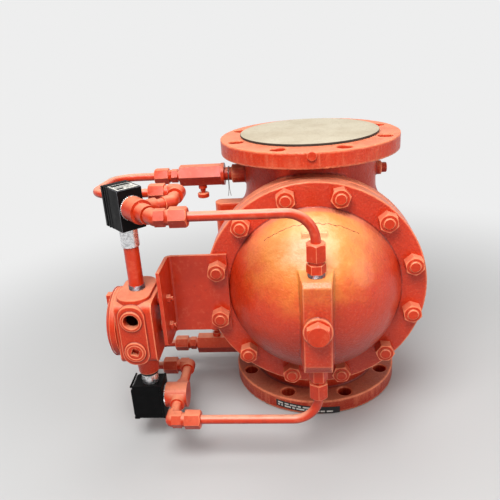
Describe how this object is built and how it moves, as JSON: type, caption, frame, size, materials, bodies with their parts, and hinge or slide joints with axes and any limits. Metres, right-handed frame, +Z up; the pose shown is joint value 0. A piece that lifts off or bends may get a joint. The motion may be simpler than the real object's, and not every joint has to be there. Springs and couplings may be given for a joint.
{
  "type": "preset stop valve",
  "caption": "Flanged globe-pattern stop valve with a spring-closed piston under a domed cover, solenoid pilot valves, needle valves and a conduit box.",
  "frame": {"origin": "centre of the bottom flange's joint face", "axes": "+Z up along the flow axis through both flanges, -Y towards the domed cover, -X towards the conduit box and pilot valves"},
  "size_m": [0.4858, 0.4319, 0.4355],
  "materials": {
    "red_paint": "semi-gloss orange-red paint",
    "black_coil": "moulded black",
    "zinc_plate": "zinc plated",
    "machined_steel": "turned stainless steel",
    "spring_steel": "drawn steel",
    "bronze": "turned bronze",
    "black_rubber": "matte",
    "gasket_sheet": "matte sheet",
    "cream_disc": "pale fibre board",
    "strip_black": "printed film"
  },
  "bodies": {
    "valve": {"valve_body": "red_paint", "cylinder_cover": "red_paint", "cover_plug": "red_paint", "cover_studs": "red_paint", "cover_nuts": "red_paint", "body_plugs": "red_paint", "upper_pilot_body": "red_paint", "lower_pilot_body": "red_paint", "upper_front_elbow": "red_paint", "upper_cover_connector": "red_paint", "upper_cover_tube": "red_paint", "lower_front_elbow": "red_paint", "lower_cover_connector": "red_paint", "lower_cover_tube": "red_paint", "upper_side_elbow": "red_paint", "upper_rear_elbow": "red_paint", "upper_needle_body": "red_paint", "lower_needle_body": "red_paint", "upper_loop_tube": "red_paint", "lower_rear_elbow": "red_paint", "lower_loop_tube": "red_paint", "junction_box": "red_paint", "mounting_bracket": "red_paint", "bracket_bolts": "red_paint", "bracket_nuts": "red_paint", "conduit_nipples": "red_paint", "needle_nipples": "red_paint", "needle_connectors": "red_paint", "needle_glands": "red_paint", "tube_nuts": "red_paint", "seat_ring": "bronze", "cylinder_liner": "bronze", "main_spring": "spring_steel", "cover_gasket": "gasket_sheet", "upper_plunger_spring": "spring_steel", "lower_plunger_spring": "spring_steel", "coils": "black_coil", "coil_hubs": "zinc_plate", "core_tubes": "machined_steel", "retaining_rings": "zinc_plate", "box_plug": "zinc_plate", "conduit_collar": "black_rubber", "marking_strip": "strip_black", "lock_wire": "spring_steel"},
    "piston": {"main_piston": "machined_steel", "piston_rings": "machined_steel", "seal_disc": "black_rubber", "seal_retainer": "machined_steel", "retainer_bolt": "machined_steel"},
    "upper_stem_travel": {"upper_stem_ring": "black_rubber"},
    "upper_stem": {"upper_needle_stem": "machined_steel", "upper_knob": "red_paint"},
    "lower_stem_travel": {"lower_stem_ring": "black_rubber"},
    "lower_stem": {"lower_needle_stem": "machined_steel", "lower_knob": "red_paint"},
    "upper_plunger": {"upper_plunger": "spring_steel"},
    "lower_plunger": {"lower_plunger": "spring_steel"},
    "cover_ring": {"box_cover_ring": "black_rubber"},
    "box_cover": {"box_cover": "red_paint"},
    "disc": {"transit_disc": "cream_disc"}
  },
  "joints": [
    {"name": "piston_slide", "type": "slide", "parent": "valve", "child": "piston", "axis": [0, -1, 0], "range_m": [0, 0.038], "stiffness_N_per_m": 6750, "springref_m": -0.038, "deforming": ["main_spring"]},
    {"name": "upper_stem_rise", "type": "slide", "parent": "valve", "child": "upper_stem_travel", "axis": [0, 0, -1], "range_m": [-0.002, 0.002]},
    {"name": "upper_stem_turn", "type": "hinge", "parent": "upper_stem_travel", "child": "upper_stem", "pos_m": [-0.176, 0, 0.371], "axis": [0, 0, -1], "range_deg": [-756, 756]},
    {"name": "lower_stem_rise", "type": "slide", "parent": "valve", "child": "lower_stem_travel", "axis": [0, 0, 1], "range_m": [-0.002, 0.002]},
    {"name": "lower_stem_turn", "type": "hinge", "parent": "lower_stem_travel", "child": "lower_stem", "pos_m": [-0.176, 0, 0.054], "axis": [0, 0, 1], "range_deg": [-756, 756]},
    {"name": "upper_plunger_lift", "type": "slide", "parent": "valve", "child": "upper_plunger", "axis": [-0.6756, 0.7373, 0], "range_m": [0, 0.0025], "stiffness_N_per_m": 400, "springref_m": -0.006, "deforming": ["upper_plunger_spring"]},
    {"name": "lower_plunger_lift", "type": "slide", "parent": "valve", "child": "lower_plunger", "axis": [-1, 0, 0], "range_m": [0, 0.0025], "stiffness_N_per_m": 400, "springref_m": -0.006, "deforming": ["lower_plunger_spring"]},
    {"name": "box_cover_travel", "type": "slide", "parent": "valve", "child": "cover_ring", "axis": [-1, 0, 0], "range_m": [0, 0.0106]},
    {"name": "box_cover_turn", "type": "hinge", "parent": "cover_ring", "child": "box_cover", "pos_m": [-0.28, -0.182, 0.204], "axis": [-1, 0, 0], "range_deg": [0, 2520]},
    {"name": "disc_lift", "type": "slide", "parent": "valve", "child": "disc", "axis": [0, 0, 1], "range_m": [0, 0.15]}
  ],
  "couplings": [
    {"joint": "upper_stem_turn", "follows": "upper_stem_rise", "rad_per_m": 6283.2},
    {"joint": "lower_stem_turn", "follows": "lower_stem_rise", "rad_per_m": 6283.2},
    {"joint": "box_cover_travel", "follows": "box_cover_turn", "m_per_rad": 0.00023873}
  ]
}
